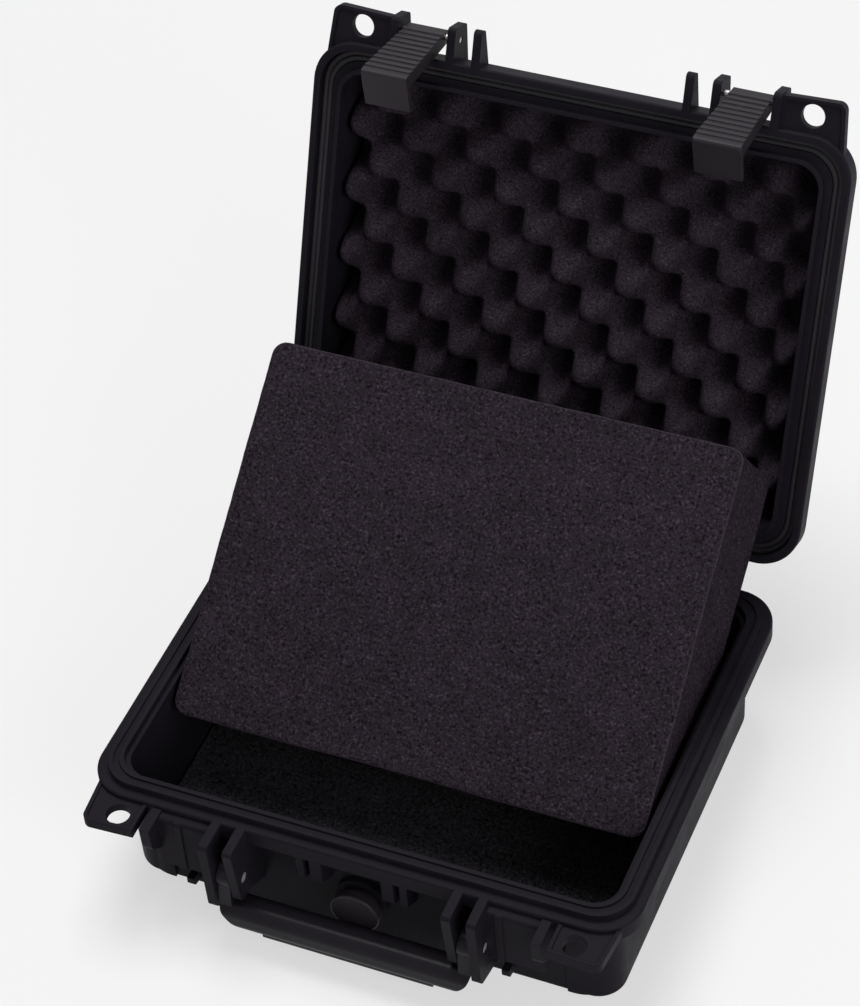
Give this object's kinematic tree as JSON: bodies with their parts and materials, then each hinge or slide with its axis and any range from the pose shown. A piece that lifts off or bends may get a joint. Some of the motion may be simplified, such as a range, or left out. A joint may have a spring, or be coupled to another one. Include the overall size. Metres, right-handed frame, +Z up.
{
  "type": "microphone case",
  "caption": "Small hard case with a hinged lid, swing latches, a folding carry handle, a pressure valve and foam lining, shown open with its foam block out.",
  "frame": {"origin": "centre of the flat underside of the base", "axes": "+Z up, -Y towards the latches and handle, +X to the right seen from the front"},
  "size_m": [0.26, 0.3562, 0.2799],
  "materials": {
    "shell_plastic": "fine grained black moulded plastic",
    "latch_plastic": "black moulded plastic, slightly smoother than the shells",
    "steel": "bright steel pin",
    "seal_rubber": "black soft rubber",
    "foam": "open cell charcoal foam"
  },
  "bodies": {
    "base": {"base_shell": "shell_plastic", "floor_pad": "foam", "handle_pin_left": "steel", "handle_pin_right": "steel", "hinge_pin_left": "steel", "hinge_pin_right": "steel", "valve_bush": "latch_plastic", "valve_nut": "latch_plastic", "valve_seal": "seal_rubber"},
    "valve": {"valve_knob": "latch_plastic", "knob_seal": "seal_rubber"},
    "handle": {"handle": "shell_plastic"},
    "lid": {"lid_shell": "shell_plastic", "lid_gasket": "seal_rubber", "lid_foam": "foam"},
    "latch_pivot_left": {"latch_pin_left": "steel"},
    "latch_pivot_right": {"latch_pin_right": "steel"},
    "latch_left": {"latch_left": "latch_plastic"},
    "latch_right": {"latch_right": "latch_plastic"},
    "foam_block": {"foam_block": "foam"}
  },
  "joints": [
    {"name": "lid_hinge", "type": "hinge", "parent": "base", "child": "lid", "pos_m": [0, 0.1127, 0.0624], "axis": [1, 0, 0], "range_deg": [0, 112.5], "deforming": ["foam_block"]},
    {"name": "foam_block_tip", "type": "hinge", "parent": "base", "child": "foam_block", "pos_m": [0, -0.04965, 0.1303], "axis": [1, 0, 0], "range_deg": [-37, 0]},
    {"name": "handle_swing", "type": "hinge", "parent": "base", "child": "handle", "pos_m": [0, -0.1112, 0.0407], "axis": [1, 0, 0], "range_deg": [-95, 0]},
    {"name": "valve_turn", "type": "hinge", "parent": "base", "child": "valve", "pos_m": [0, -0.1053, 0.0284], "axis": [0, 1, 0], "range_deg": [0, 180]},
    {"name": "latch_pivot_left", "type": "hinge", "parent": "lid", "child": "latch_pivot_left", "pos_m": [0, 0.2096, 0.26732], "axis": [1, 0, 0], "range_deg": [-31, 0]},
    {"name": "latch_left", "type": "hinge", "parent": "latch_pivot_left", "child": "latch_left", "pos_m": [0, 0.2096, 0.26732], "axis": [1, 0, 0], "range_deg": [-90, 20]},
    {"name": "latch_pivot_right", "type": "hinge", "parent": "lid", "child": "latch_pivot_right", "pos_m": [0, 0.2096, 0.26732], "axis": [1, 0, 0], "range_deg": [-31, 0]},
    {"name": "latch_right", "type": "hinge", "parent": "latch_pivot_right", "child": "latch_right", "pos_m": [0, 0.2096, 0.26732], "axis": [1, 0, 0], "range_deg": [-90, 20]}
  ],
  "couplings": [
    {"joint": "foam_block_tip", "follows": "lid_hinge", "ratio": -0.32889},
    {"joint": "latch_pivot_left", "follows": "lid_hinge", "ratio": -0.27556},
    {"joint": "latch_pivot_right", "follows": "lid_hinge", "ratio": -0.27556}
  ]
}
